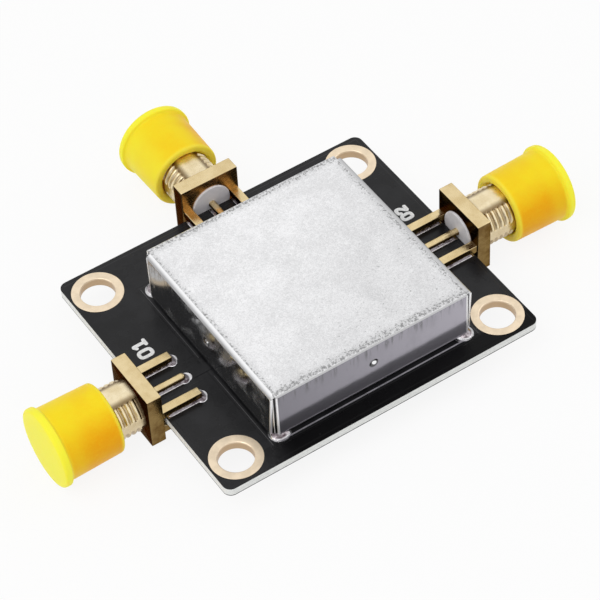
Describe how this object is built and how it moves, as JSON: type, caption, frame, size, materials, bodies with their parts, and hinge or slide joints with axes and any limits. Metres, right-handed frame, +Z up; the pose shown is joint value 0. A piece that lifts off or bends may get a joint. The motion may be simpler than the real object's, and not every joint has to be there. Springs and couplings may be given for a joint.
{
  "type": "rf mixer module",
  "caption": "Shielded radio frequency mixer on a small square circuit board with edge coaxial sockets under push-on dust caps and plated mounting holes.",
  "frame": {"origin": "centre of the four mounting holes, on the underside of the circuit board", "axes": "+X from the left socket to the right one, +Y towards the back socket, +Z up from the board towards the shield"},
  "size_m": [0.0692, 0.0501, 0.0111],
  "materials": {
    "solder_mask": "satin",
    "tinned_copper": "satin",
    "masked_copper": "satin",
    "tinned_steel": "satin",
    "solder": "satin",
    "gold_plate": "satin",
    "ptfe": "matte",
    "cap_yellow": "satin",
    "mixer_plastic": "matte"
  },
  "bodies": {
    "root": {"board": "solder_mask", "cap_back": "cap_yellow", "cap_left": "cap_yellow", "cap_right": "cap_yellow", "contact_back": "gold_plate", "contact_left": "gold_plate", "contact_right": "gold_plate", "hole_plating_back_left": "gold_plate", "hole_plating_back_right": "gold_plate", "hole_plating_front_left": "gold_plate", "hole_plating_front_right": "gold_plate", "insulator_back": "ptfe", "insulator_left": "ptfe", "insulator_right": "ptfe", "mixer_base": "mixer_plastic", "mixer_cover": "mixer_plastic", "mixer_lands": "tinned_copper", "mixer_leads": "tinned_steel", "pads_back": "tinned_copper", "pads_left": "tinned_copper", "pads_right": "tinned_copper", "shield_frame": "tinned_steel", "shield_land": "tinned_copper", "shield_lid": "tinned_steel", "shield_solder": "solder", "signal_tracks": "masked_copper", "socket_body_back": "gold_plate", "socket_body_left": "gold_plate", "socket_body_right": "gold_plate", "solder_back": "solder", "solder_left": "solder", "solder_right": "solder"}
  },
  "joints": []
}
